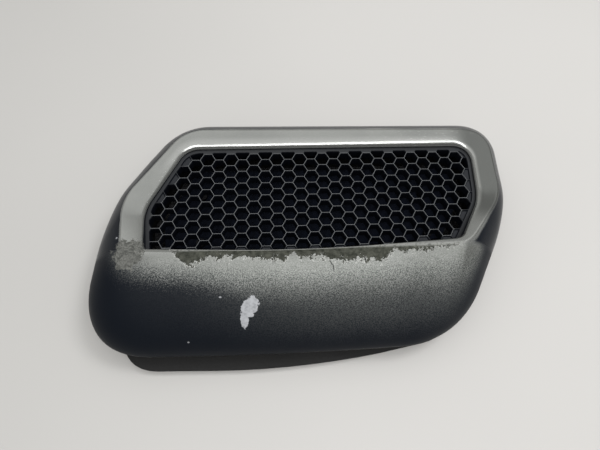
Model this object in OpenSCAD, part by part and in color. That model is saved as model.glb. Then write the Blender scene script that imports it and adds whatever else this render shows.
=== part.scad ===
// Cowl vent for an engine cowl: a painted cover with a scooped lower lip, a honeycomb grille
// clamped behind its opening, and a moulded rear housing with a splash baffle and an air outlet.
// The vent lies on its back: +X to the right, +Y towards the top edge, +Z out of the face.

/* [Cover] */
// Length of the cover over its ends
cover_l = 281; // [266:1:296]
// Width of the cover from its top edge to its bottom edge
cover_w = 162; // [154:1:170]
// Thickness of the cover's wall
skin_t = 2.4; // [2:0.1:2.8]
// Height of the cover's rim above the cowl
rim_z = 17; // [15:0.5:19]
// Height of the crest that runs round the bezel
crest_z = 47; // [46.5:0.5:48.5]
// Height of the bezel's inner edge
edge_z = 44; // [43:0.5:44.5]
// Height of the scoop's lip
lip_z = 54; // [52:0.5:56]

/* [Grille] */
// Distance between rows of cells
cell_pitch = 9; // [8:0.5:11]
// Thickness of the web between two cells
cell_web = 0.9; // [0.8:0.1:1.4]
// Depth of the cells
cell_depth = 6.5; // [5:0.5:6.5]
// Width of the flat border that shows inside the opening
border_w = 2.2; // [1.8:0.2:3]
// Height of the grille's front face
grille_z = 40.5; // [40:0.1:40.8]

/* [Frame and housing] */
// Thickness of the frame's plate
frame_t = 4; // [3.5:0.1:4.2]
// Thickness of the housing's base plate
plate_t = 3; // [2.6:0.1:3.4]
// Thickness of the housing's walls
wall_t = 2.5; // [2:0.1:2.6]
// Thickness of the base gasket
gasket_t = 3; // [2:0.5:3]
// Length of the air outlet
outlet_l = 98; // [80:1:104]
// Width of the air outlet
outlet_w = 30; // [24:1:32]
// Height of the dam round the air outlet, above the plate
dam_h = 12; // [8:1:13]

/* [Mounting] */
// Distance between the mounting holes along X
mount_x = 160; // [154:1:164]
// Distance between the mounting holes along Y
mount_y = 127; // [125:1:128]
// Radius of the mounting thread's bore
mount_r = 2.5; // [2.5:0.1:2.6]
// Length of the brass inserts
insert_len = 11; // [9:1:12]

/* [Hidden] */

// Scale of the drawn corners to the cover's size
sx = cover_l / 281;
sy = cover_w / 162;

// Corners of each closed line, counter-clockwise from the top right: x, y, z, length of rounding
OUTLINE = [[141.5, 85.2, rim_z, 28], [-90, 85.6, rim_z, 28], [-135.5, 15, rim_z, 34],
    [-143.5, -75.5, rim_z, 44], [-14, -77.5, rim_z, 60], [95, -73.5, rim_z, 36], [141.5, 11, rim_z, 30]];
CREST = [[128.5, 68, crest_z + 0.4, 18], [-80.5, 70, crest_z - 0.3, 13], [-117.5, 18, crest_z, 11],
    [-113.5, -19.5, lip_z - 1.7, 8], [-4, -24, lip_z, 45], [100, -17.5, lip_z - 1.7, 9],
    [127.5, 16.5, crest_z + 1.5, 10]];
EDGE = [[116.5, 57.8, edge_z, 13], [-80, 57, edge_z, 9], [-104, 11.5, edge_z + 0.6, 8],
    [-101, -17.2, lip_z - 3.2, 4], [-4, -20.8, lip_z - 1.8, 45], [96, -14.3, lip_z - 3.2, 5],
    [114.5, 16.5, edge_z + 0.2, 8]];
// Corners of the housing's flange, in the same form
FLANGE = [[104, 79, 0, 14], [-85, 79, 0, 14], [-120, 22, 0, 20], [-120, -83, 0, 22],
    [1, -86, 0, 60], [99, -67, 0, 24], [118, 10, 0, 20]];
// Number of steps along each straight side, and round each corner
SIDE_STEPS = [12, 6, 4, 8, 8, 4, 4];
CORNER_STEPS = 8;

// Profile of the cover's wall: steps, and the rounding of the crest and of the edge, on both sides
WALL_STEPS = 10;
ROLL_STEPS = 4;
crest_round = 1.6;
edge_round = 1.5;
edge_roll = 3.5;
rim_land = 2;

// Seals under the cover's rim and under the housing
rim_seal_h = 2.5;
gasket_in = 1;
gasket_band = 7;

// Depth of the part cells along the grille's border
pocket_depth = 0.9;

// Heights, from the cowl upwards
plate_z = gasket_t;
floor_z = plate_z + plate_t;
frame_top = grille_z - 3;
frame_z = frame_top - frame_t;
seal_z = grille_z;
seat_z = grille_z + 0.8;
foam_t = 2;
wall_top = frame_z - foam_t;

// Distances out from the opening's edge
border_out = 3.6;
frame_out = 14;
screw_out = 7.6;
column_out = 9.5;
wall_out = 1.5;

// Places round the opening, as parts of its length from the top right corner
FRAME_SCREWS_AT = [0.05, 0.18, 0.30, 0.47, 0.60, 0.71, 0.81, 0.955];
COLUMNS_AT = [0.115, 0.24, 0.53, 0.655, 0.77, 0.90];

// Fasteners
washer_t = 0.8;
frame_boss_r = 3.5;
frame_boss_h = 6.5;
frame_screw_len = 9;
column_r = 4.8;
column_seat = plate_z + 4.6;
column_bore_r = 2.1;
boss_bore_r = 1.6;
screw_hole_r = 1.9;
washer_bore_r = 1.7;
frame_washer_r = 3.3;
housing_washer_r = 3.7;
counterbore_r = 4;
head_r = 2.9;
head_h = 2.2;
spacer_r = 3.5;
insert_r = 4;
ledge_screw_r = 1.1;
ledge_hole_r = 1.3;
tower_r = 5.5;
tower_h = 14;
clear = 0.05;

// Outlet, baffle and drains
outlet_at = [6, 28];
ledge = 6;
screen_t = 0.8;
screen_hole_r = 1.5;
screen_step = 4;
ring_t = 2.5;
baffle_z = 25;
baffle_t = 2;
baffle_gap = 9;
BAFFLE_AT = [[-70, 28], [82, 28], [-70, -6], [82, -2]];
baffle_boss_h = 4;
baffle_boss_r = 4;
drain_r = 4;
DRAINS_AT = [[-84, -12], [66, -11]];
mount_at = [0, 3];

// ---- Lines ----

function unit(v) = v / norm(v);
function flat(p) = [p[0], p[1]];
function bezier(a, b, c, d, t) =
    a * pow(1 - t, 3) + b * 3 * t * pow(1 - t, 2) + c * 3 * t * t * (1 - t) + d * pow(t, 3);
function vertex(c) = [c[0] * sx, c[1] * sy, c[2]];

// A closed line through rounded corners, with the same number of points on every line
function loop(corners) = [
    for (k = [0 : len(corners) - 1])
        let (n = len(corners))
        let (v = vertex(corners[k]))
        let (before = vertex(corners[(k + n - 1) % n]))
        let (after = vertex(corners[(k + 1) % n]))
        let (cut = corners[k][3])
        let (start = v + unit(before - v) * cut)
        let (end = v + unit(after - v) * cut)
        let (next = after + unit(v - after) * corners[(k + 1) % n][3])
        each concat(
            [for (i = [0 : CORNER_STEPS])
                bezier(start, start + (v - start) * 0.62, end + (v - end) * 0.62, end,
                    i / CORNER_STEPS)],
            [for (i = [1 : SIDE_STEPS[k] - 1])
                end + (next - end) * i / SIDE_STEPS[k]])];

rim_line = loop(OUTLINE);
crest_line = loop(CREST);
edge_line = loop(EDGE);
flange_line = loop(FLANGE);
COUNT = len(rim_line);

function at(list, i) = list[(i + COUNT) % COUNT];
function out_normal(i) =
    let (d = flat(at(edge_line, i + 1) - at(edge_line, i - 1)))
    unit([d[1], -d[0]]);
function runs(i) = i == 0 ? [0] :
    let (s = runs(i - 1))
    concat(s, [s[i - 1] + norm(flat(at(edge_line, i) - at(edge_line, i - 1)))]);
RUN = runs(COUNT);

// The point that lies a part of the way round the opening, and some distance out from its edge
function ring_point(part, out) =
    let (s = part * RUN[COUNT])
    let (i = [for (k = [0 : COUNT - 1]) if (RUN[k] <= s && s < RUN[k + 1]) k][0])
    let (t = (s - RUN[i]) / (RUN[i + 1] - RUN[i]))
    let (p = flat(edge_line[i]) * (1 - t) + flat(at(edge_line, i + 1)) * t)
    let (dir = unit(out_normal(i) * (1 - t) + out_normal(i + 1) * t))
    concat(p + dir * out, [edge_line[i][2], crest_line[i][2], norm(flat(crest_line[i] - edge_line[i]))]);

// ---- Cover ----

// A point of the wall, from the crest (t = 0) down to the rim (t = 1)
function wall_point(i, t) =
    let (a = crest_line[i])
    let (d = rim_line[i] + [0, 0, rim_land])
    let (across = flat(d - a))
    let (span = norm(across))
    let (drop = a[2] - d[2])
    let (reach = 0.4 * norm([span, drop]))
    let (slope = max(7, 58 - 0.95 * span))
    let (out = unit(across))
    let (b = a + [out[0] * cos(slope), out[1] * cos(slope), -sin(slope)] * reach)
    let (c = d + [-out[0] * span * 0.06, -out[1] * span * 0.06, drop * 0.45])
    bezier(a, b, c, d, t);

wall_grid = [for (i = [0 : COUNT - 1]) [for (j = [0 : WALL_STEPS]) wall_point(i, j / WALL_STEPS)]];

// The same point on the wall's inner face
function wall_inner(i, j) =
    let (along = at(wall_grid, i + 1)[j] - at(wall_grid, i - 1)[j])
    let (down = wall_grid[i][min(j + 1, WALL_STEPS)] - wall_grid[i][max(j - 1, 0)])
    wall_grid[i][j] - unit(cross(down, along)) * skin_t;

function arc_between(a, v, b) = [
    for (k = [0 : ROLL_STEPS])
        let (t = k / ROLL_STEPS)
        a * pow(1 - t, 2) + v * 2 * t * (1 - t) + b * t * t];

// One closed section: rim, wall, crest, bezel, edge, throat, and back along the inside
function section(i) =
    let (rim = rim_line[i])
    let (crest = crest_line[i])
    let (edge = edge_line[i])
    let (bezel = unit(edge - crest))
    let (wall_dir = unit(wall_grid[i][1] - crest))
    let (width = norm(edge - crest))
    let (cr = min(crest_round, width * 0.4))
    let (er = min(edge_round, width * 0.4))
    let (lead = min(edge_roll, width * 0.4))
    let (out = unit(flat(crest - edge)))
    let (out3 = [out[0], out[1], 0])
    let (seat = [edge[0], edge[1], seat_z])
    let (rim_in = wall_inner(i, WALL_STEPS))
    concat(
        [rim],
        [for (j = [WALL_STEPS : -1 : 1]) wall_grid[i][j]],
        arc_between(crest + wall_dir * cr, crest, crest + bezel * cr),
        arc_between(edge - bezel * lead, edge, edge - [0, 0, er]),
        [seat, seat + out3 * skin_t],
        [[edge[0], edge[1], max(edge[2] - skin_t * 1.15, seat_z + 0.3)] + out3 * skin_t],
        [for (j = [1 : WALL_STEPS]) wall_inner(i, j)],
        [[rim_in[0], rim_in[1], rim[2]]]);

module skin() {
    rows = [for (i = [0 : COUNT - 1]) section(i)];
    m = len(rows[0]);
    polyhedron(
        points = [for (row = rows) each row],
        faces = [for (i = [0 : COUNT - 1], j = [0 : m - 1])
            let (a = i * m + j)
            let (b = i * m + (j + 1) % m)
            let (c = ((i + 1) % COUNT) * m + (j + 1) % m)
            let (d = ((i + 1) % COUNT) * m + j)
            each [[a, b, c], [a, c, d]]],
        convexity = 6);
}

// Height at which a frame boss ends inside the skin
function boss_top(p) = p[4] > 8 ? p[2] + (p[3] - p[2]) * screw_out / p[4] - skin_t + 0.6
    : p[3] - skin_t + 0.2;

module outer_shell() {
    color("dimgray")
    difference() {
        union() {
            skin();
            for (s = FRAME_SCREWS_AT) {
                p = ring_point(s, screw_out);
                translate([p[0], p[1], frame_top])
                    cylinder(r = frame_boss_r, h = boss_top(p) - frame_top, $fn = 24);
            }
        }
        for (s = FRAME_SCREWS_AT) {
            p = ring_point(s, screw_out);
            translate([p[0], p[1], frame_top - 1])
                cylinder(r = boss_bore_r, h = frame_screw_len - frame_t + 1.6, $fn = 24);
        }
    }
}

module rim_seal() {
    color("black")
    translate([0, 0, rim_z - rim_seal_h])
        linear_extrude(rim_seal_h)
            difference() {
                polygon([for (p = rim_line) flat(p)]);
                offset(delta = -skin_t - 0.8) polygon([for (p = rim_line) flat(p)]);
            }
}

// ---- Grille ----

module opening(out) {
    offset(delta = out) polygon([for (p = edge_line) flat(p)]);
}

// Is the point inside the closed line?
function inside(p, line) =
    let (n = len(line))
    let (crossings = [for (i = [0 : n - 1])
        let (a = line[i])
        let (b = line[(i + 1) % n])
        if ((a[1] > p[1]) != (b[1] > p[1])
            && p[0] < a[0] + (p[1] - a[1]) * (b[0] - a[0]) / (b[1] - a[1])) 1])
    len(crossings) % 2 == 1;

// Places of the cells whose centres lie inside the opening, moved out by a distance
function cells(out) =
    let (line = [for (i = [0 : COUNT - 1]) flat(edge_line[i]) + out_normal(i) * out])
    [for (a = [-17 : 17], b = [-6 : 9])
        let (x = -3.5 + a * cell_pitch * sqrt(3) / 2)
        let (y = 22.5 + (b - (a % 2 == 0 ? 0 : 0.5)) * cell_pitch)
        if (inside([x, y], line)) [x, y]];

// The web between cells, inside the border
module web(places) {
    difference() {
        opening(-1.2);
        intersection() {
            opening(-border_w);
            for (c = places)
                translate(c)
                    circle(r = (cell_pitch - cell_web) / sqrt(3), $fn = 6);
        }
    }
}

// Whole cells go through; the part cells along the border are shallow pockets
module honeycomb_grille() {
    color([0.13, 0.13, 0.14])
    union() {
        translate([0, 0, grille_z - cell_depth])
            linear_extrude(cell_depth - pocket_depth) web(cells(-border_w));
        translate([0, 0, grille_z - pocket_depth])
            linear_extrude(pocket_depth) web(cells(2.5 - border_w));
        translate([0, 0, frame_top])
            linear_extrude(grille_z - frame_top)
                difference() {
                    opening(border_out);
                    opening(-1.2);
                }
    }
}

module grille_seal() {
    color([0.05, 0.05, 0.05])
    translate([0, 0, seal_z])
        linear_extrude(seat_z - seal_z)
            difference() {
                opening(skin_t - 0.2);
                opening(0.2);
            }
}

// ---- Frame ----

module pan_screw(r, head_r, head_h, length) {
    translate([0, 0, -head_h]) cylinder(r = head_r, h = head_h, $fn = 32);
    cylinder(r = r, h = length, $fn = 24);
}

module washer(r_in, r_out, t) {
    difference() {
        cylinder(r = r_out, h = t, $fn = 32);
        translate([0, 0, -1]) cylinder(r = r_in, h = t + 2, $fn = 24);
    }
}

module inner_frame() {
    color([0.2, 0.2, 0.21])
    difference() {
        union() {
            translate([0, 0, frame_z])
                linear_extrude(frame_t)
                    difference() {
                        opening(frame_out);
                        opening(-1);
                    }
            for (s = COLUMNS_AT) {
                p = ring_point(s, column_out);
                translate([p[0], p[1], frame_z - frame_boss_h])
                    cylinder(r = column_r, h = frame_boss_h, $fn = 32);
            }
        }
        for (s = FRAME_SCREWS_AT) {
            p = ring_point(s, screw_out);
            translate([p[0], p[1], frame_z - 1]) cylinder(r = screw_hole_r, h = frame_t + 2, $fn = 24);
        }
        for (s = COLUMNS_AT) {
            p = ring_point(s, column_out);
            translate([p[0], p[1], frame_z - frame_boss_h - 1])
                cylinder(r = boss_bore_r, h = frame_boss_h + 3.5, $fn = 24);
        }
    }
}

module frame_screws() {
    color("silver")
    for (s = FRAME_SCREWS_AT) {
        p = ring_point(s, screw_out);
        translate([p[0], p[1], frame_z - washer_t])
            pan_screw(boss_bore_r - clear, head_r, head_h, frame_screw_len);
    }
}

module frame_washers() {
    color("silver")
    for (s = FRAME_SCREWS_AT) {
        p = ring_point(s, screw_out);
        translate([p[0], p[1], frame_z - washer_t]) washer(washer_bore_r, frame_washer_r, washer_t);
    }
}

// ---- Baffle ----

module splash_baffle() {
    color([0.16, 0.16, 0.17])
    difference() {
        translate([0, 0, baffle_z])
            linear_extrude(baffle_t) opening(-baffle_gap);
        for (p = BAFFLE_AT)
            translate([p[0], p[1], baffle_z - 1])
                cylinder(r = screw_hole_r, h = baffle_t + 2, $fn = 24);
    }
}

module baffle_spacers() {
    color("gainsboro")
    for (p = BAFFLE_AT)
        translate([p[0], p[1], floor_z + baffle_boss_h])
            washer(washer_bore_r, spacer_r, baffle_z - floor_z - baffle_boss_h);
}

module baffle_screws() {
    color([0.1, 0.1, 0.1])
    for (p = BAFFLE_AT)
        translate([p[0], p[1], baffle_z + baffle_t])
            mirror([0, 0, 1])
                pan_screw(boss_bore_r - clear, head_r, head_h,
                    baffle_z + baffle_t - floor_z - 0.6);
}

// ---- Housing ----

module outlet_shape(grow) {
    w = outlet_l + 2 * grow;
    h = outlet_w + 2 * grow;
    r = 4 + grow;
    translate(outlet_at)
        union() {
            square([w - 2 * r, h], center = true);
            square([w, h - 2 * r], center = true);
            for (x = [-1, 1], y = [-1, 1])
                translate([x * (w / 2 - r), y * (h / 2 - r)]) circle(r = r, $fn = 32);
        }
}

module at_mounts() {
    for (x = [-1, 1], y = [-1, 1])
        translate([mount_at[0] + x * mount_x / 2, mount_at[1] + y * mount_y / 2, 0]) children();
}

module at_ledge_screws() {
    across = (outlet_l + ledge) / 2;
    up = (outlet_w + ledge) / 2;
    for (p = [[-across, 0], [across, 0], [-across * 0.3, up], [across * 0.3, up], [0, -up]])
        translate([outlet_at[0] + p[0], outlet_at[1] + p[1], 0]) children();
}

module rear_housing() {
    color([0.1, 0.1, 0.1])
    difference() {
        union() {
            translate([0, 0, plate_z])
                linear_extrude(plate_t) polygon([for (p = flange_line) flat(p)]);
            translate([0, 0, floor_z])
                linear_extrude(wall_top - floor_z)
                    difference() {
                        opening(wall_out + wall_t);
                        opening(wall_out);
                    }
            translate([0, 0, floor_z])
                linear_extrude(dam_h)
                    difference() {
                        outlet_shape(ledge + wall_t);
                        outlet_shape(ledge);
                    }
            for (s = COLUMNS_AT) {
                p = ring_point(s, column_out);
                translate([p[0], p[1], floor_z])
                    cylinder(r = column_r, h = frame_z - frame_boss_h - floor_z, $fn = 32);
            }
            for (p = BAFFLE_AT)
                translate([p[0], p[1], floor_z])
                    cylinder(r = baffle_boss_r, h = baffle_boss_h, $fn = 32);
            at_mounts()
                translate([0, 0, floor_z]) cylinder(r = tower_r, h = tower_h - plate_t, $fn = 40);
        }
        translate([0, 0, plate_z - 1])
            linear_extrude(plate_t + 2) outlet_shape(0);
        for (s = COLUMNS_AT) {
            p = ring_point(s, column_out);
            translate([p[0], p[1], plate_z - 1])
                cylinder(r = counterbore_r, h = column_seat - plate_z + 1, $fn = 32);
            translate([p[0], p[1], plate_z]) cylinder(r = column_bore_r, h = 40, $fn = 24);
        }
        for (p = BAFFLE_AT)
            translate([p[0], p[1], plate_z + 1.5]) cylinder(r = boss_bore_r, h = 10, $fn = 24);
        for (p = DRAINS_AT)
            translate([p[0], p[1], plate_z - 1])
                cylinder(r = drain_r, h = plate_t + 2, $fn = 32);
        at_mounts()
            translate([0, 0, plate_z - 1])
                cylinder(r = insert_r, h = insert_len + 1, $fn = 40);
        at_ledge_screws()
            translate([0, 0, plate_z + 0.6]) cylinder(r = ledge_screw_r, h = 10, $fn = 24);
    }
}

module housing_seal() {
    color([0.08, 0.08, 0.08])
    translate([0, 0, wall_top])
        linear_extrude(foam_t)
            difference() {
                opening(wall_out + wall_t);
                opening(wall_out);
            }
}

module housing_screws() {
    color("silver")
    for (s = COLUMNS_AT) {
        p = ring_point(s, column_out);
        translate([p[0], p[1], column_seat - washer_t])
            pan_screw(boss_bore_r - clear, head_r, head_h, frame_z + 1.6 - column_seat + washer_t);
    }
}

module housing_washers() {
    color("silver")
    for (s = COLUMNS_AT) {
        p = ring_point(s, column_out);
        translate([p[0], p[1], column_seat - washer_t]) washer(washer_bore_r, housing_washer_r, washer_t);
    }
}

// ---- Outlet ----

module outlet_screen() {
    rows_n = floor(outlet_w / 2 / (screen_step * 0.866));
    cols_n = floor(outlet_l / 2 / screen_step);
    color("lightgray")
    translate([0, 0, floor_z])
        linear_extrude(screen_t)
            difference() {
                outlet_shape(ledge - 0.3);
                for (j = [-rows_n : rows_n], i = [-cols_n : cols_n - abs(j % 2)])
                    translate([outlet_at[0] + (i + abs(j % 2) / 2) * screen_step,
                            outlet_at[1] + j * screen_step * 0.866])
                        circle(r = screen_hole_r, $fn = 6);
                at_ledge_screws() circle(r = ledge_hole_r, $fn = 24);
            }
}

module screen_ring() {
    color([0.12, 0.12, 0.12])
    difference() {
        translate([0, 0, floor_z + screen_t])
            linear_extrude(ring_t)
                difference() {
                    outlet_shape(ledge - 0.3);
                    outlet_shape(0.5);
                }
        at_ledge_screws()
            translate([0, 0, floor_z]) cylinder(r = ledge_hole_r, h = 10, $fn = 24);
    }
}

module screen_screws() {
    color("silver")
    at_ledge_screws()
        translate([0, 0, floor_z + screen_t + ring_t])
            mirror([0, 0, 1])
                pan_screw(ledge_screw_r - clear, 2.1, 1.5, screen_t + ring_t + plate_t - 1);
}

module silencer_foam() {
    color([0.25, 0.25, 0.26])
    translate([0, 0, floor_z])
        linear_extrude(8)
            difference() {
                opening(0.8);
                outlet_shape(ledge + wall_t + 0.7);
                for (p = BAFFLE_AT)
                    translate(p) circle(r = 4.6, $fn = 32);
                for (p = DRAINS_AT)
                    translate(p) circle(r = 9, $fn = 32);
            }
}

module drain_grommets() {
    color([0.07, 0.07, 0.07])
    for (p = DRAINS_AT)
        translate([p[0], p[1], plate_z])
            rotate_extrude($fn = 40)
                polygon([[2.6, 0.2], [3.9, 0.2], [3.9, plate_t + 0.1], [6, plate_t + 0.1],
                    [6, plate_t + 1.6], [2.6, plate_t + 1.6]]);
}

// ---- Mounting ----

module mount_inserts() {
    color("goldenrod")
    at_mounts()
        translate([0, 0, plate_z])
            difference() {
                cylinder(r = insert_r - clear, h = insert_len - 0.5, $fn = 40);
                translate([0, 0, -1]) cylinder(r = mount_r, h = insert_len + 2, $fn = 40);
            }
}

module base_gasket() {
    color([0.09, 0.09, 0.09])
    linear_extrude(gasket_t)
        difference() {
            offset(delta = -gasket_in) polygon([for (p = flange_line) flat(p)]);
            offset(delta = -gasket_in - gasket_band) polygon([for (p = flange_line) flat(p)]);
            at_mounts() circle(r = 6.5, $fn = 40);
        }
}

outer_shell();
rim_seal();
honeycomb_grille();
grille_seal();
inner_frame();
frame_screws();
frame_washers();
splash_baffle();
baffle_spacers();
baffle_screws();
rear_housing();
housing_seal();
housing_screws();
housing_washers();
outlet_screen();
screen_ring();
screen_screws();
silencer_foam();
drain_grommets();
mount_inserts();
base_gasket();
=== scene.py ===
# Looks of the cowl vent: the painted cover, the honeycomb grille and the parts behind them.
# Lengths inside the shape functions are millimetres; every mesh is written in metres.
import math

import bmesh
import bpy
from mathutils import Matrix, Vector
from mathutils.geometry import delaunay_2d_cdt


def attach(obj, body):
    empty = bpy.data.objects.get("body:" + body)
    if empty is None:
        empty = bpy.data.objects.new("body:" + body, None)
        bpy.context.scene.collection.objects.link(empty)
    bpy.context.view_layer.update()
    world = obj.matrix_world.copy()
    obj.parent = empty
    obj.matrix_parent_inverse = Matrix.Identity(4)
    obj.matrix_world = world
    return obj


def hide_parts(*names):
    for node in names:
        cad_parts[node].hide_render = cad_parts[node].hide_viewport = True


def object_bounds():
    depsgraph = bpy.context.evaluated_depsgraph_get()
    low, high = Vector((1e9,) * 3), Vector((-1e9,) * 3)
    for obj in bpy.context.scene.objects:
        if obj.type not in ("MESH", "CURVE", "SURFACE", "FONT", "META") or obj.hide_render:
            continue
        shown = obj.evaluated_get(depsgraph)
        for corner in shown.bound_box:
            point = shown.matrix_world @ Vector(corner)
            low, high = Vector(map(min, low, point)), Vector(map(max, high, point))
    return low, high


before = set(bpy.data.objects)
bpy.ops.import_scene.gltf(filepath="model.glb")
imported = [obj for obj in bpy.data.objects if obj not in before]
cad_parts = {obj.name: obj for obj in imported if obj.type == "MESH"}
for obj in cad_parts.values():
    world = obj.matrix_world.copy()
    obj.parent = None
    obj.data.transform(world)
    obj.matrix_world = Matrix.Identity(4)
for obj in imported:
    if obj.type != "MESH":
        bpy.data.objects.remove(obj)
CAD_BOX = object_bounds()
MM = 0.001
WELD = 1e-6

# ---- Sizes shared with the CAD: z is the height above the engine cowl ----

RIM_Z = 17.0
CREST_Z = 47.0
EDGE_Z = 44.0
LIP_Z = 54.0
SKIN = 2.4
RIM_LAND = 2.0
SEAT_Z = 41.3
GRILLE_Z = 40.5
CELL_PITCH = 9.0
CELL_WEB = 0.9
CELL_DEPTH = 6.5
BORDER = 2.2
POCKET = 0.9
FRAME_TOP = 37.5

# Corners of each closed line: x, y, z, length of rounding
OUTLINE = [(141.5, 85.2, RIM_Z, 28), (-90, 85.6, RIM_Z, 28), (-135.5, 15, RIM_Z, 34),
           (-143.5, -75.5, RIM_Z, 44), (-14, -77.5, RIM_Z, 60), (95, -73.5, RIM_Z, 36),
           (141.5, 11, RIM_Z, 30)]
CREST = [(128.5, 68, CREST_Z + 0.4, 18), (-80.5, 70, CREST_Z - 0.3, 13), (-117.5, 18, CREST_Z, 11),
         (-113.5, -19.5, LIP_Z - 1.7, 8), (-4, -24, LIP_Z, 45), (100, -17.5, LIP_Z - 1.7, 9),
         (127.5, 16.5, CREST_Z + 1.5, 10)]
EDGE = [(116.5, 57.8, EDGE_Z, 13), (-80, 57, EDGE_Z, 9), (-104, 11.5, EDGE_Z + 0.6, 8),
        (-101, -17.2, LIP_Z - 3.2, 4), (-4, -20.8, LIP_Z - 1.8, 45), (96, -14.3, LIP_Z - 3.2, 5),
        (114.5, 16.5, EDGE_Z + 0.2, 8)]
SIDE_STEPS = [36, 18, 12, 24, 24, 12, 12]
CORNER_STEPS = 20
CORNER_HANDLE = 0.62

# How far the bare primer reaches out from the lip's edge: x, distance
PEEL_DEPTH = [(-86, 0), (-81, 6), (-73, 12.5), (-66, 9), (-61, 6), (-46, 6.5), (-30, 7.6),
              (-14, 7), (-10, 2.2), (-6, 6.8), (5, 6.4), (13, 8.2), (20, 10), (28, 8),
              (40, 12), (47, 9.5), (51, 4.4), (56, 6.5), (72, 7), (90, 5.5), (98, 3)]


# ---- Mesh helpers ----

def new_object(name, verts, faces, material):
    """An object from points in millimetres."""
    mesh = bpy.data.meshes.new(name)
    mesh.from_pydata([Vector(v) * MM for v in verts], [], faces)
    mesh.validate()
    obj = bpy.data.objects.new(name, mesh)
    bpy.context.scene.collection.objects.link(obj)
    mesh.materials.append(material)
    return obj


def smooth(obj, angle):
    mesh = obj.data
    mesh.shade_smooth()
    mesh.set_sharp_from_angle(angle=math.radians(angle))


def bezier(a, b, c, d, t):
    """The point at t of the curve from a to d with handles b and c."""
    s = 1 - t
    return a * s ** 3 + b * (3 * t * s * s) + c * (3 * t * t * s) + d * t ** 3


def loop(corners):
    """A closed line through rounded corners, with the same number of points on every line."""
    pts = [Vector(c[:3]) for c in corners]
    n = len(pts)
    line = []
    for k in range(n):
        v, before, after = pts[k], pts[k - 1], pts[(k + 1) % n]
        cut = corners[k][3]
        start = v + (before - v).normalized() * cut
        end = v + (after - v).normalized() * cut
        nxt = after + (v - after).normalized() * corners[(k + 1) % n][3]
        for i in range(CORNER_STEPS + 1):
            line.append(bezier(start, start.lerp(v, CORNER_HANDLE), end.lerp(v, CORNER_HANDLE), end,
                               i / CORNER_STEPS))
        for i in range(1, SIDE_STEPS[k]):
            line.append(end.lerp(nxt, i / SIDE_STEPS[k]))
    return line


RIM_LINE = loop(OUTLINE)
CREST_LINE = loop(CREST)
EDGE_LINE = loop(EDGE)
COUNT = len(RIM_LINE)


def flat(v):
    return Vector((v[0], v[1], 0))


# ---- Cover ----

WALL_STEPS = 34
ROLL_STEPS = 7
THROAT_STEPS = 4
BAND_STEPS = 6
CREST_ROUND = 1.6
EDGE_ROUND = 2.0
EDGE_ROLL = 5.0
ROLL_SHARE = 0.4
SEARCH_STEPS = 200
INNER_STEP = 3
SHELF_BELOW = 1.15 * SKIN
SHELF_LEAST = 0.3
INSIDE_RUN = -9
# The wall's slope at the crest, in degrees: it eases as the wall gets wider, down to a least slope
SLOPE, SLOPE_EASE, LEAST_SLOPE = 58, 0.95, 7
# Handles of the wall's curve, as shares of its length, its width and its height
CREST_HANDLE, RIM_HANDLE_IN, RIM_HANDLE_UP = 0.4, 0.06, 0.45


def wall_point(i, t):
    """A point of the wall from the crest (t = 0) to the rim (t = 1)."""
    a = CREST_LINE[i]
    d = RIM_LINE[i] + Vector((0, 0, RIM_LAND))
    across = flat(d - a)
    span, drop = across.length, a.z - d.z
    reach = CREST_HANDLE * math.hypot(span, drop)
    slope = math.radians(max(LEAST_SLOPE, SLOPE - SLOPE_EASE * span))
    out = across.normalized()
    b = a + (out * math.cos(slope) - Vector((0, 0, math.sin(slope)))) * reach
    c = d - out * span * RIM_HANDLE_IN + Vector((0, 0, drop * RIM_HANDLE_UP))
    return bezier(a, b, c, d, t)


WALL = [[wall_point(i, j / WALL_STEPS) for j in range(WALL_STEPS + 1)] for i in range(COUNT)]


def wall_inner(i, j):
    """The same point on the inside, one skin's thickness in."""
    along = WALL[(i + 1) % COUNT][j] - WALL[i - 1][j]
    down = WALL[i][min(j + 1, WALL_STEPS)] - WALL[i][max(j - 1, 0)]
    return WALL[i][j] - down.cross(along).normalized() * SKIN


def roll(a, v, b):
    """A rounded corner at v, from a to b."""
    steps = [k / ROLL_STEPS for k in range(ROLL_STEPS + 1)]
    return [a * (1 - t) ** 2 + v * (2 * t * (1 - t)) + b * t * t for t in steps]


def outer_part(i):
    """From the throat's foot, over the edge, the bezel and the crest, down the wall to the rim."""
    crest, edge = CREST_LINE[i], EDGE_LINE[i]
    bezel = (edge - crest).normalized()
    most = (edge - crest).length * ROLL_SHARE
    crest_cut = min(CREST_ROUND, most)
    foot = edge - Vector((0, 0, min(EDGE_ROUND, most)))
    seat = Vector((edge.x, edge.y, SEAT_Z))
    throat = [seat.lerp(foot, k / THROAT_STEPS) for k in range(THROAT_STEPS)]
    edge_roll = roll(foot, edge, edge - bezel * min(EDGE_ROLL, most))
    wall_dir = (WALL[i][1] - crest).normalized()
    crest_roll = roll(crest + bezel * crest_cut, crest, crest + wall_dir * crest_cut)
    band = [edge_roll[-1].lerp(crest_roll[0], k / BAND_STEPS) for k in range(1, BAND_STEPS)]
    first = next(k / SEARCH_STEPS for k in range(1, SEARCH_STEPS)
                 if (wall_point(i, k / SEARCH_STEPS) - crest).length >= crest_cut)
    wall = [wall_point(i, first + (1 - first) * k / WALL_STEPS) for k in range(WALL_STEPS + 1)]
    return throat + edge_roll + band + crest_roll[:-1] + wall


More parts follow.
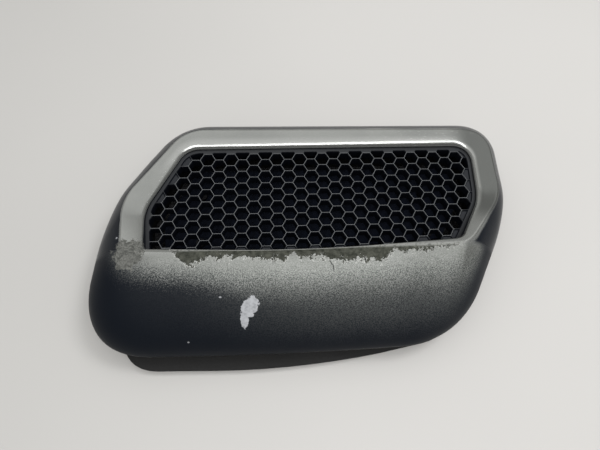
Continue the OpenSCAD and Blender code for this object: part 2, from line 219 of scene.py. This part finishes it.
def back_part(i):
    """Under the rim and back along the inside to the throat's foot."""
    rim, edge, crest = RIM_LINE[i], EDGE_LINE[i], CREST_LINE[i]
    inner = [wall_inner(i, j) for j in range(WALL_STEPS, INNER_STEP, -INNER_STEP)]
    low = Vector((inner[0].x, inner[0].y, rim.z))
    out = flat(crest - edge).normalized() * SKIN
    shelf_z = max(edge.z - SHELF_BELOW, SEAT_Z + SHELF_LEAST)
    shelf, seat = (Vector((edge.x, edge.y, z)) + out for z in (shelf_z, SEAT_Z))
    return [Vector(rim), low] + inner + [shelf, seat]


def run_lengths(row, start):
    """Distance over the surface from the opening's edge, at each point of a section."""
    runs = [0.0] * len(row)
    for k in range(start + 1, len(row)):
        runs[k] = runs[k - 1] + (row[k] - row[k - 1]).length
    for k in range(start - 1, -1, -1):
        runs[k] = runs[k + 1] - (row[k] - row[k + 1]).length
    return runs


def mark_runs(mesh, fronts, row_size):
    """Attributes of the paint: run outward from the edge in mm, fall from the crest to the rim."""
    run = mesh.attributes.new("run", "FLOAT", "POINT")
    fall = mesh.attributes.new("fall", "FLOAT", "POINT")
    start = THROAT_STEPS + ROLL_STEPS // 2
    crest_at = THROAT_STEPS + ROLL_STEPS + BAND_STEPS + ROLL_STEPS // 2
    for i, row in enumerate(fronts):
        lengths = run_lengths(row, start)
        total = lengths[-1] - lengths[crest_at]
        for j in range(row_size):
            inside = j >= len(row)
            past = 1.0 if inside else (lengths[j] - lengths[crest_at]) / total
            run.data[i * row_size + j].value = INSIDE_RUN if inside else lengths[j]
            fall.data[i * row_size + j].value = past


def facing_out(mesh, weld=False):
    """Turns every face outward, after joining points that coincide if asked to."""
    bm = bmesh.new()
    bm.from_mesh(mesh)
    if weld:
        bmesh.ops.remove_doubles(bm, verts=bm.verts, dist=WELD)
    bmesh.ops.recalc_face_normals(bm, faces=bm.faces)
    bm.to_mesh(mesh)
    bm.free()


def build_cover(material):
    """Closed sections round the opening, each joined to the next."""
    fronts = [outer_part(i) for i in range(COUNT)]
    rows = [front + back_part(i) for i, front in enumerate(fronts)]
    size = len(rows[0])
    faces = []
    for i in range(COUNT):
        here, beyond = i * size, (i + 1) % COUNT * size
        for j in range(size):
            k = (j + 1) % size
            faces.append((here + j, here + k, beyond + k, beyond + j))
    obj = new_object("cover", [p for row in rows for p in row], faces, material)
    mark_runs(obj.data, fronts, size)
    facing_out(obj.data)
    smooth(obj, 40)
    return obj


# ---- Grille ----

CELL_ORIGIN = (-3.5, 22.5)
PART_CELLS = 2.5
MARK_SLACK = 0.1
FOOT_OUT = 3.6
SKIRT_OUT = -1.2
SLIVER = 0.8
SHARPEST = 0.35
# A cell from its mouth inward: how far its walls are moved in, depth below the face
FLARE = [(-0.35, 0.0), (-0.25, 0.07), (0.028, 0.35)]
CELL_TAPER = 0.2
POCKET_TAPER = 0.3


def moved_line(line, out):
    """The line moved out (or in, where out is below zero) in its own plane."""
    n = len(line)
    result = []
    for i in range(n):
        d = line[(i + 1) % n] - line[i - 1]
        result.append((line[i].x + d.y / math.hypot(d.x, d.y) * out,
                       line[i].y - d.x / math.hypot(d.x, d.y) * out))
    return result


def thinned(line, step):
    """Drops points closer than step, so that the border has no slivers."""
    kept = [line[0]]
    for p in line[1:]:
        if math.dist(p, kept[-1]) > step:
            kept.append(p)
    if math.dist(kept[0], kept[-1]) < step:
        kept.pop()
    return kept


def clipped(poly, convex):
    """The part of poly inside a convex counter-clockwise line."""
    out = list(poly)
    n = len(convex)
    for k in range(n):
        a, b = convex[k], convex[(k + 1) % n]
        edge = (b[0] - a[0], b[1] - a[1])
        side = [edge[0] * (p[1] - a[1]) - edge[1] * (p[0] - a[0]) for p in out]
        nxt = []
        for i, p in enumerate(out):
            q, sp, sq = out[(i + 1) % len(out)], side[i], side[(i + 1) % len(out)]
            if sp >= 0:
                nxt.append(p)
            if (sp >= 0) != (sq >= 0):
                t = sp / (sp - sq)
                nxt.append((p[0] + (q[0] - p[0]) * t, p[1] + (q[1] - p[1]) * t))
        out = nxt
        if len(out) < 3:
            return []
    return out


def cell_centres():
    """More than enough centres, in columns along Y, every other column half a pitch lower."""
    for a in range(-17, 18):
        for b in range(-6, 10):
            yield (CELL_ORIGIN[0] + a * CELL_PITCH * math.sqrt(3) / 2,
                   CELL_ORIGIN[1] + (b - a % 2 / 2) * CELL_PITCH)


def hexagon(centre, r):
    return [(centre[0] + r * math.cos(math.radians(60 * k)),
             centre[1] + r * math.sin(math.radians(60 * k))) for k in range(6)]


def grille_cells(border):
    """(polygon, does it go through) for each cell: part cells along the border are shallow pockets."""
    r = (CELL_PITCH - CELL_WEB) / math.sqrt(3)
    reach = moved_line(EDGE_LINE, PART_CELLS - BORDER)
    for centre in cell_centres():
        if point_in(centre, reach):
            yield clipped(hexagon(centre, r), border), point_in(centre, border)


def shrunk(poly, by):
    """A polygon moved in by a small distance, corner by corner."""
    n = len(poly)
    out = []
    for i in range(n):
        p, q, r = Vector(poly[i - 1]), Vector(poly[i]), Vector(poly[(i + 1) % n])
        a, b = (q - p).normalized(), (r - q).normalized()
        na, nb = Vector((-a.y, a.x)), Vector((-b.y, b.x))
        mid = (na + nb).normalized()
        out.append(tuple(q + mid * (by / max(SHARPEST, mid.dot(na)))))
    return out


class Builder:
    """Collects points and faces for one mesh."""

    def __init__(self):
        self.verts, self.faces = [], []

    def ring(self, poly, z):
        start = len(self.verts)
        self.verts += [(p[0], p[1], z) for p in poly]
        return list(range(start, start + len(poly)))

    def wall(self, top, low):
        n = len(top)
        for k in range(n):
            self.faces.append((top[k], top[(k + 1) % n], low[(k + 1) % n], low[k]))


def web_face(builder, outer, holes, z):
    """The flat face between an outer line and the cells, as triangles."""
    points, edges = [], []
    for poly in [outer] + holes:
        start = len(points)
        points += [Vector(p) for p in poly]
        edges += [(start + k, start + (k + 1) % len(poly)) for k in range(len(poly))]
    flat_points, _, triangles = delaunay_2d_cdt(points, edges, [], 1, 1e-5)[:3]
    start = len(builder.verts)
    builder.verts += [(p.x, p.y, z) for p in flat_points]
    for face in triangles:
        middle = (sum(flat_points[k].x for k in face) / len(face),
                  sum(flat_points[k].y for k in face) / len(face))
        if not any(point_in(middle, hole) for hole in holes):
            builder.faces.append(tuple(start + k for k in face))


def point_in(p, poly):
    """Whether a point is inside a closed line."""
    xs = [q[0] for q in poly]
    if p[0] < min(xs) or p[0] > max(xs):
        return False
    hit = False
    for a, b in zip(poly, poly[1:] + poly[:1]):
        if (a[1] > p[1]) != (b[1] > p[1]):
            if p[0] < a[0] + (p[1] - a[1]) * (b[0] - a[0]) / (b[1] - a[1]):
                hit = not hit
    return hit


def add_cell(builder, poly, whole):
    """A cell's flared mouth and walls, and the floor of a pocket."""
    taper, depth = (CELL_TAPER, CELL_DEPTH) if whole else (POCKET_TAPER, POCKET)
    rings = [builder.ring(shrunk(poly, by), GRILLE_Z - down) for by, down in FLARE + [(taper, depth)]]
    for top, low in zip(rings, rings[1:]):
        builder.wall(top, low)
    if not whole:
        builder.faces.append(tuple(rings[-1]))


def mark_border(mesh):
    """An attribute of the grille's material: 0 where the cells are and 1 on the plain border."""
    inner = moved_line(EDGE_LINE, MARK_SLACK - BORDER)
    outside = [0.0 if point_in(v.co.xy / MM, inner) else 1.0 for v in mesh.vertices]
    mesh.attributes.new("border", "FLOAT", "POINT").data.foreach_set("value", outside)


def build_grille(material):
    """Front web, cells, back web and skirt, with a foot that stands on the frame."""
    border, foot, skirt = (thinned(moved_line(EDGE_LINE, out), SLIVER)
                           for out in (-BORDER, FOOT_OUT, SKIRT_OUT))
    cells = list(grille_cells(border))
    b = Builder()
    for poly, whole in cells:
        add_cell(b, poly, whole)
    back_z = GRILLE_Z - CELL_DEPTH
    web_face(b, foot, [shrunk(poly, FLARE[0][0]) for poly, _ in cells], GRILLE_Z)
    web_face(b, skirt, [shrunk(poly, CELL_TAPER) for poly, whole in cells if whole], back_z)
    b.wall(b.ring(foot, GRILLE_Z), b.ring(foot, FRAME_TOP))
    b.wall(b.ring(skirt, FRAME_TOP), b.ring(skirt, back_z))
    obj = new_object("grille", b.verts, b.faces, material)
    facing_out(obj.data, weld=True)
    mark_border(obj.data)
    smooth(obj, 30)
    return obj


# ---- Node helpers ----

class Nodes:
    """Small wrapper that builds a material's node tree. Values are numbers or sockets."""

    def __init__(self, name):
        self.mat = bpy.data.materials.new(name)
        self.mat.use_nodes = True
        self.tree = self.mat.node_tree
        self.tree.nodes.clear()
        self.out = self.tree.nodes.new("ShaderNodeOutputMaterial")
        self.bsdf = self.tree.nodes.new("ShaderNodeBsdfPrincipled")
        self.tree.links.new(self.bsdf.outputs[0], self.out.inputs[0])
        self.place = self.tree.nodes.new("ShaderNodeTexCoord").outputs["Object"]

    def put(self, value, socket):
        if isinstance(value, bpy.types.NodeSocket):
            self.tree.links.new(value, socket)
        else:
            socket.default_value = value

    def set(self, **values):
        for key, value in values.items():
            self.put(value, self.bsdf.inputs[key.replace("_", " ")])

    def math(self, op, a, b=0.0):
        node = self.tree.nodes.new("ShaderNodeMath")
        node.operation = op
        self.put(a, node.inputs[0])
        self.put(b, node.inputs[1])
        return node.outputs[0]

    def plus(self, a, b):
        return self.math("ADD", a, b)

    def minus(self, a, b):
        return self.math("SUBTRACT", a, b)

    def times(self, product, *others):
        for other in others:
            product = self.math("MULTIPLY", product, other)
        return product

    def either(self, largest, *others):
        for other in others:
            largest = self.math("MAXIMUM", largest, other)
        return largest

    def centred(self, value, size):
        """A value of 0 to 1 moved round zero and scaled."""
        return self.times(self.minus(value, 0.5), size)

    def ramp(self, value, low, high, to_low=0.0, to_high=1.0):
        node = self.tree.nodes.new("ShaderNodeMapRange")
        node.interpolation_type = "SMOOTHSTEP"
        for key, v in (("Value", value), ("From Min", low), ("From Max", high),
                       ("To Min", to_low), ("To Max", to_high)):
            self.put(v, node.inputs[key])
        return node.outputs[0]

    def noise(self, scale, detail=2.0, rough=0.5, warp=0.0, vector=None):
        node = self.tree.nodes.new("ShaderNodeTexNoise")
        self.tree.links.new(vector or self.place, node.inputs["Vector"])
        node.inputs["Scale"].default_value = scale
        node.inputs["Detail"].default_value = detail
        node.inputs["Roughness"].default_value = rough
        node.inputs["Distortion"].default_value = warp
        return node.outputs["Fac"]

    def cells(self, scale):
        """Distance to the nearest of many scattered points."""
        node = self.tree.nodes.new("ShaderNodeTexVoronoi")
        self.tree.links.new(self.place, node.inputs["Vector"])
        node.inputs["Scale"].default_value = scale
        return node.outputs["Distance"]

    def mix(self, fac, a, b):
        """Between two colours."""
        node = self.tree.nodes.new("ShaderNodeMix")
        node.data_type = "RGBA"
        self.put(fac, node.inputs[0])
        for value, socket in ((a, node.inputs[6]), (b, node.inputs[7])):
            self.put(value if isinstance(value, bpy.types.NodeSocket) else (*value, 1), socket)
        return node.outputs[2]

    def blend(self, fac, a, b):
        """Between two numbers."""
        node = self.tree.nodes.new("ShaderNodeMix")
        self.put(fac, node.inputs[0])
        self.put(a, node.inputs[2])
        self.put(b, node.inputs[3])
        return node.outputs[0]

    def xyz(self):
        """The place on the object, in metres."""
        node = self.tree.nodes.new("ShaderNodeSeparateXYZ")
        self.tree.links.new(self.place, node.inputs[0])
        return node.outputs

    def attribute(self, name):
        node = self.tree.nodes.new("ShaderNodeAttribute")
        node.attribute_name = name
        return node.outputs["Fac"]

    def stretched(self, scale):
        node = self.tree.nodes.new("ShaderNodeMapping")
        self.tree.links.new(self.place, node.inputs["Vector"])
        node.inputs["Scale"].default_value = scale
        return node.outputs[0]

    def bump(self, height, distance, strength=1.0, normal=None):
        node = self.tree.nodes.new("ShaderNodeBump")
        node.inputs["Distance"].default_value = distance
        self.put(strength, node.inputs["Strength"])
        self.put(height, node.inputs["Height"])
        if normal is not None:
            self.tree.links.new(normal, node.inputs["Normal"])
        return node.outputs[0]


# ---- The cover's paint ----

NAVY = (0.006, 0.008, 0.012)
SILVER = ((0.36, 0.37, 0.355), (0.43, 0.44, 0.42))
WORN_SILVER = ((0.32, 0.33, 0.31), (0.39, 0.4, 0.38))
# A painted highlight: brighter silver along the upper edge of the opening.
PAINTED_HIGHLIGHT = (0.52, 0.53, 0.51)
# Painted shade: darker silver for the right band, which faces away from the light.
SHADED = (0.2, 0.207, 0.197)
DUST = (0.11, 0.12, 0.11)
PRIMER = ((0.022, 0.024, 0.019), (0.082, 0.085, 0.07))
CRUST = ((0.06, 0.062, 0.057), (0.17, 0.172, 0.16))
FLAKE = (0.75, 0.76, 0.73)
# A painted highlight along the lip's edge.
PAINTED_LIP_HIGHLIGHT = (0.7, 0.71, 0.68)
CRACK = (0.03, 0.032, 0.03)
SCUFF = (0.42, 0.43, 0.45)
STOPS_SPAN = 250
TOOTH = 14


def spot(n, x, y, rx, ry, ragged, turn=0.0):
    """A ragged patch round a point of the face, 1 inside and 0 outside. Lengths are millimetres."""
    px, py, _ = n.xyz()
    dx, dy = n.minus(px, x * MM), n.minus(py, y * MM)
    c, s = math.cos(math.radians(turn)), math.sin(math.radians(turn))
    u = n.math("DIVIDE", n.plus(n.times(dx, c), n.times(dy, s)), rx * MM)
    v = n.math("DIVIDE", n.minus(n.times(dy, c), n.times(dx, s)), ry * MM)
    r = n.math("SQRT", n.plus(n.times(u, u), n.times(v, v)))
    return n.ramp(n.plus(r, n.centred(n.noise(260, 5, 0.7), ragged)), 1.04, 0.96)


def profile(n, value, stops):
    """A height that follows the given stops (x in mm, height) along X."""
    top = max(height for _, height in stops)
    node = n.tree.nodes.new("ShaderNodeValToRGB")
    n.put(n.plus(n.times(value, 1 / (STOPS_SPAN * MM)), 0.5), node.inputs[0])
    ramp = node.color_ramp
    for k, (x, height) in enumerate(stops):
        place = x / STOPS_SPAN + 0.5
        element = ramp.elements[k] if k < 2 else ramp.elements.new(place)
        element.position = place
        element.color = (height / top, height / top, height / top, 1)
    return n.times(node.outputs[0], top)


def peeled_lip(n, run, front):
    """Bare primer along the lip, 1 inside, and the bright flakes at its border."""
    px, _, _ = n.xyz()
    depth = profile(n, px, PEEL_DEPTH)
    teeth = n.plus(n.noise(170, 4, 0.7, 1.0), n.noise(620, 5, 0.8, 0.5))
    over = n.minus(n.minus(run, depth), n.times(n.minus(teeth, 1.0), TOOTH))
    on = n.times(front, n.ramp(depth, 0.8, 2.0), n.ramp(run, 0.9, 1.4))
    bare = n.times(n.ramp(over, 0.12, -0.12), on)
    chips = n.ramp(n.noise(700, 2, 0.6), 0.36, 0.5)
    return bare, n.times(n.ramp(over, 1.3, 0.2), n.minus(1.0, bare), chips, on)


def damage(n):
    """Masks of the crust at the lip's left end, the cracks, and the pale scuff with its specks."""
    crust = spot(n, -108.5, -20.5, 9, 9.5, 2.2)
    crack = n.either(spot(n, 13.3, -32.6, 0.4, 2.4, 1.2, 4), spot(n, 11.9, -29.4, 0.4, 2.2, 1.2, 28),
                     spot(n, 32.7, -27.8, 0.4, 2.2, 1.2, 4))
    scuff = n.either(spot(n, -37.2, -53, 4.2, 6.6, 1.6, -32), spot(n, -40, -58.5, 2.4, 5, 1.3, -4))
    specks = n.either(spot(n, -54, -47, 0.8, 0.5, 0.9), spot(n, -74, -70, 0.7, 0.4, 0.9),
                      spot(n, -117, -9.5, 0.8, 0.7, 0.9))
    scraped = n.ramp(n.noise(300, 4, 0.65), 0.3, 0.6, 0.6, 0.95)
    return crust, crack, n.either(n.times(scuff, scraped), n.times(specks, 0.6))


def film_and_painted_shade(n, fall, front, worn, grain):
    """How much of the silver top coat shows: full at the crest, fading lower down the walls and the
    bulge and at the left end and the right corner, where the navy below shows. The fading is painted
    shade on faces that turn away from the light.
    """
    px, py, _ = n.xyz()
    drift = n.centred(n.noise(28, 3, 0.6), n.ramp(fall, 0.0, 0.06, 0.0, 0.12))
    speck = n.centred(grain, n.blend(worn, 0.06, 0.42))
    reach = n.plus(n.plus(fall, drift), speck)
    # Painted shade from here on: the coat fades down the bulge, at the left end and near the right
    # corner, and soon below the crest on the side walls.
    left_end = n.ramp(px, -0.1, -0.01, 0.3, 0.5)
    right_share = n.ramp(px, -0.09, 0.04, 0.03, 0.34)
    down = n.blend(right_share, n.ramp(reach, left_end, 0.04), n.ramp(reach, 0.95, 0.1))
    corner = n.minus(px, n.times(n.plus(py, 0.032), 0.45))
    ends = n.times(n.ramp(px, -0.122, -0.085, 0.12, 1.0), n.ramp(corner, 0.11, 0.096, 0.08, 1.0))
    ends = n.blend(n.ramp(fall, 0.0, 0.05), 1.0, ends)
    side_end = n.ramp(px, -0.1, 0.12, 0.03, 0.09)
    return n.blend(front, n.ramp(reach, side_end, 0.0), n.times(ends, down))


def silver_color(n, fall, run, worn, grain):
    """The top coat's colour: a painted highlight along the upper edge, painted shade at the right end,
    dusty on the bulge.
    """
    px, py, _ = n.xyz()
    cloud = n.ramp(n.noise(18, 4, 0.6), 0.3, 0.7)
    # Painted highlight: brighter silver on the upper band near the opening.
    upper = n.times(n.ramp(run, 8.0, 3.0), n.ramp(py, 0.035, 0.05))
    # Painted shade on the right band, which faces away from the light.
    right = n.times(n.ramp(px, 0.098, 0.116), n.ramp(run, 0.4, 3.0), n.ramp(py, -0.008, 0.008))
    dust = n.times(n.ramp(grain, 0.42, 0.62), worn, n.ramp(fall, 0.05, 0.25, 0.25, 0.9))
    silver = n.mix(cloud, *SILVER)
    for mask, color in ((upper, PAINTED_HIGHLIGHT), (worn, n.mix(cloud, *WORN_SILVER)), (right, SHADED),
                        (dust, DUST)):
        silver = n.mix(mask, silver, color)
    return silver


def paint_material():
    n = Nodes("graphite_paint")
    fall, run = n.attribute("fall"), n.attribute("run")
    px, py, _ = n.xyz()
    front = n.ramp(py, -0.016, -0.021)
    outside = n.ramp(run, -2.5, -0.5)
    worn = n.times(front, n.ramp(fall, 0.0, 0.05))
    grain, fine = n.noise(1700, 2, 0.7), n.noise(620, 3, 0.65)
    # The silver coat's share, cut back lower down as painted shade.
    film_and_shade = n.times(outside, film_and_painted_shade(n, fall, front, worn, grain))
    bare, flakes = peeled_lip(n, run, front)
    crust, crack, pale = damage(n)
    # Painted highlight: a pale line along the lip's edge, brightest on its left part.
    lip = n.times(front, outside, n.ramp(run, 1.5, 0.9), n.ramp(px, -0.07, -0.09, 0.35, 1.0))
    mottle = n.ramp(n.noise(300, 6, 0.75), 0.3, 0.7)
    wrinkle = n.ramp(n.noise(420, 5, 0.75, 1.2), 0.35, 0.65)
    color = n.mix(film_and_shade, NAVY, silver_color(n, fall, run, worn, grain))
    for mask, coat in ((bare, n.mix(mottle, *PRIMER)), (flakes, FLAKE), (lip, PAINTED_LIP_HIGHLIGHT),
                       (crust, n.mix(wrinkle, *CRUST)), (n.times(crack, 0.8), CRACK), (pale, SCUFF)):
        color = n.mix(mask, color, coat)
    dull = n.either(bare, crust, crack, pale)
    rough = n.plus(n.times(fine, 0.08), n.blend(worn, 0.2, 0.42))
    n.set(Base_Color=color, Metallic=n.times(film_and_shade, 0.88, n.minus(1.0, dull)),
          Roughness=n.blend(dull, rough, 0.7), Specular_IOR_Level=0.5, IOR=1.16)
    lifted = n.bump(n.times(bare, -1.0), 0.0002, 0.8)
    height = n.plus(fine, n.times(n.minus(wrinkle, 1.0), crust))
    strength = n.blend(n.either(n.times(worn, 0.4), crust), 0.03, 0.6)
    n.set(Normal=n.bump(height, 0.00006, strength, lifted))
    return n.mat


# ---- Other materials ----

def grille_material():
    """Pale on the webs' front face, a painted highlight; near black in the cells, painted shade; the
    pockets' floors between, and the plain border darker than the webs' front.
    """
    n = Nodes("grille_plastic")
    _, _, pz = n.xyz()
    floor_z = GRILLE_Z - POCKET
    face = n.ramp(pz, (GRILLE_Z - 0.05) * MM, (GRILLE_Z - 0.005) * MM)
    pocket = n.times(n.ramp(pz, (floor_z - 0.08) * MM, (floor_z - 0.02) * MM),
                     n.ramp(pz, (floor_z + 0.08) * MM, (floor_z + 0.02) * MM))
    grain = n.noise(900, 3, 0.6)
    # Painted highlight: the webs' front face is made far paler than the cells, from the same plastic.
    front = n.mix(n.ramp(n.attribute("border"), 0.02, 0.25), (0.14, 0.146, 0.15), (0.034, 0.036, 0.039))
    # Painted shade: near black down the cells; the pockets' floors a little lighter.
    color = n.mix(pocket, n.mix(face, (0.003, 0.004, 0.007), front), (0.022, 0.024, 0.028))
    n.set(Base_Color=color, Roughness=n.ramp(grain, 0.3, 0.7, 0.45, 0.6), Specular_IOR_Level=0.2,
          Normal=n.bump(grain, 0.00005, 0.4))
    return n.mat


def plastic_material(name, low, high, rough, scale=700, specular=0.25):
    n = Nodes(name)
    grain = n.noise(scale, 4, 0.6)
    n.set(Base_Color=n.mix(n.noise(25, 3, 0.5), low, high), Specular_IOR_Level=specular,
          Roughness=n.ramp(grain, 0.3, 0.7, rough - 0.06, rough + 0.08),
          Normal=n.bump(grain, 0.00012, 0.5))
    return n.mat


def foam_material(name, low, high):
    n = Nodes(name)
    size = n.ramp(n.cells(900), 0.1, 0.6)
    n.set(Base_Color=n.mix(size, low, high), Roughness=0.95, Specular_IOR_Level=0.2,
          Normal=n.bump(size, 0.0004, 0.8))
    return n.mat


def metal_material(name, low, high, rough):
    n = Nodes(name)
    lines = n.noise(900, 3, 0.6, vector=n.stretched((1, 1, 12)))
    n.set(Base_Color=n.mix(lines, low, high), Metallic=1.0,
          Roughness=n.ramp(lines, 0.3, 0.7, rough - 0.06, rough + 0.08),
          Normal=n.bump(lines, 0.00004, 0.4))
    return n.mat


def floor_material():
    n = Nodes("table")
    px, _, _ = n.xyz()
    # Painted light: the table is made brighter towards +X, as if lit from the right, under a soft
    # random tone.
    cloud = n.plus(n.ramp(px, -0.3, 0.05, 0.0, 0.6), n.times(n.noise(4, 2, 0.5), 0.4))
    n.set(Base_Color=n.mix(cloud, (0.46, 0.455, 0.44), (0.56, 0.55, 0.535)), Roughness=0.75,
          Specular_IOR_Level=0.2)
    return n.mat


# ---- Pieces kept from the CAD ----

def refined(node, material, width):
    """A copy of a CAD node with its arrises rounded, shown in its place."""
    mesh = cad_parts[node].data.copy()
    mesh.name = node + "_piece"
    obj = bpy.data.objects.new(node + "_piece", mesh)
    bpy.context.scene.collection.objects.link(obj)
    bm = bmesh.new()
    bm.from_mesh(mesh)
    bmesh.ops.remove_doubles(bm, verts=bm.verts, dist=WELD)
    bmesh.ops.dissolve_limit(bm, angle_limit=math.radians(1), verts=bm.verts, edges=bm.edges)
    bm.to_mesh(mesh)
    bm.free()
    mesh.materials.clear()
    mesh.materials.append(material)
    bevel = obj.modifiers.new("arris", "BEVEL")
    bevel.width = width * MM
    bevel.segments = 2
    bevel.limit_method = "ANGLE"
    bevel.angle_limit = math.radians(40)
    bevel.use_clamp_overlap = True
    smooth(obj, 30)
    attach(obj, "root")
    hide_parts(node)


def dress(material, *nodes):
    """Gives CAD nodes that are shown as they are their material."""
    for node in nodes:
        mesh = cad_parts[node].data
        mesh.materials.clear()
        mesh.materials.append(material)


# ---- Assembly ----

def build_front():
    cover = build_cover(paint_material())
    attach(cover, "root")
    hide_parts("outer_shell")
    grille = build_grille(grille_material())
    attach(grille, "root")
    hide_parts("honeycomb_grille")


def build_mouldings():
    housing = plastic_material("housing_plastic", (0.012, 0.012, 0.012), (0.02, 0.02, 0.02), 0.6)
    inner = plastic_material("frame_plastic", (0.015, 0.015, 0.016), (0.022, 0.022, 0.024), 0.55)
    dark = plastic_material("dark_plastic", (0.003, 0.004, 0.008), (0.005, 0.007, 0.013), 0.8,
                            specular=0.1)
    rubber = plastic_material("rubber", (0.006, 0.006, 0.006), (0.011, 0.011, 0.011), 0.75, 1200)
    foam = foam_material("foam_rubber", (0.006, 0.006, 0.006), (0.018, 0.018, 0.018))
    open_foam = foam_material("open_foam", (0.006, 0.006, 0.007), (0.03, 0.03, 0.032))
    refined("rear_housing", housing, 0.5)
    refined("rim_seal", rubber, 0.4)
    refined("base_gasket", foam, 0.4)
    dress(inner, "inner_frame", "screen_ring")
    dress(dark, "splash_baffle")
    dress(rubber, "drain_grommets")
    dress(foam, "grille_seal", "housing_seal")
    dress(open_foam, "silencer_foam")


def build_fasteners():
    steel = metal_material("stainless", (0.42, 0.42, 0.43), (0.58, 0.58, 0.58), 0.3)
    sheet = metal_material("screen_steel", (0.35, 0.35, 0.36), (0.5, 0.5, 0.5), 0.35)
    alloy = metal_material("aluminium", (0.55, 0.55, 0.56), (0.68, 0.68, 0.69), 0.35)
    black = metal_material("black_steel", (0.02, 0.02, 0.022), (0.035, 0.035, 0.037), 0.5)
    brass = metal_material("brass", (0.55, 0.38, 0.14), (0.7, 0.52, 0.22), 0.3)
    dress(steel, "frame_screws", "frame_washers", "housing_screws", "housing_washers",
          "screen_screws")
    dress(sheet, "outlet_screen")
    dress(alloy, "baffle_spacers")
    dress(black, "baffle_screws")
    dress(brass, "mount_inserts")


# ---- Stage ----

def build_floor():
    mesh = bpy.data.meshes.new("table")
    bm = bmesh.new()
    bmesh.ops.create_grid(bm, x_segments=8, y_segments=8, size=6)
    bm.to_mesh(mesh)
    bm.free()
    floor = bpy.data.objects.new("table", mesh)
    floor.location.z = CAD_BOX[0][2]
    bpy.context.scene.collection.objects.link(floor)
    mesh.materials.append(floor_material())


def area_light(name, place, target, size, power):
    data = bpy.data.lights.new(name, "AREA")
    data.shape = "RECTANGLE"
    data.size, data.size_y = size
    data.energy = power
    lamp = bpy.data.objects.new(name, data)
    bpy.context.scene.collection.objects.link(lamp)
    lamp.location = place
    lamp.rotation_euler = (Vector(target) - Vector(place)).to_track_quat("-Z", "Y").to_euler()
    return lamp


def build_lights():
    """Two lights for matt surfaces, then two that the gloss paint also reflects."""
    key = area_light("key", (0.55, 0.25, 1.1), (0, 0, 0.03), (0.35, 0.35), 5)
    ceiling = area_light("ceiling", (0, 0.1, 1.6), (0, 0, 0), (2.4, 2.4), 3)
    key.visible_glossy = ceiling.visible_glossy = False
    area_light("sky", (0, 0.2, 1.5), (0, 0, 0), (2.4, 2.0), 7)
    area_light("strip", (0.05, -0.34, 0.96), (0, 0.0, 0.04), (0.9, 0.2), 3.0)


def build_world():
    """Even light for matt surfaces; dark towards -Y and brighter towards +Y in reflections."""
    world = bpy.data.worlds.new("studio")
    bpy.context.scene.world = world
    world.use_nodes = True
    tree = world.node_tree
    back = tree.nodes["Background"]
    coord = tree.nodes.new("ShaderNodeTexCoord")
    split = tree.nodes.new("ShaderNodeSeparateXYZ")
    tree.links.new(coord.outputs["Generated"], split.inputs[0])
    side = tree.nodes.new("ShaderNodeMapRange")
    for key, value in (("From Min", -0.8), ("From Max", 0.8), ("To Min", 0.03), ("To Max", 0.4)):
        side.inputs[key].default_value = value
    tree.links.new(split.outputs["Y"], side.inputs["Value"])
    path = tree.nodes.new("ShaderNodeLightPath")
    strength = tree.nodes.new("ShaderNodeMix")
    tree.links.new(path.outputs["Is Glossy Ray"], strength.inputs[0])
    strength.inputs[2].default_value = 0.6
    tree.links.new(side.outputs[0], strength.inputs[3])
    tree.links.new(strength.outputs[0], back.inputs["Strength"])
    back.inputs["Color"].default_value = (0.98, 0.975, 0.96, 1)


def build_camera():
    data = bpy.data.cameras.new("camera")
    data.sensor_width = 36
    data.lens = 27
    camera = bpy.data.objects.new("camera", data)
    bpy.context.scene.collection.objects.link(camera)
    right = Vector((0.9983, -0.0388, 0.0426))
    up = Vector((0.0193, 0.9218, 0.3873))
    back = Vector((-0.0543, -0.3858, 0.9210))
    turn = Matrix((right, up, back)).transposed().to_4x4()
    camera.matrix_world = Matrix.Translation((-0.0208, -0.1116, 0.3077)) @ turn
    bpy.context.scene.camera = camera


build_camera()
build_front()
build_mouldings()
build_fasteners()
build_floor()
build_world()
build_lights()
bpy.context.scene.view_settings.view_transform = "Standard"
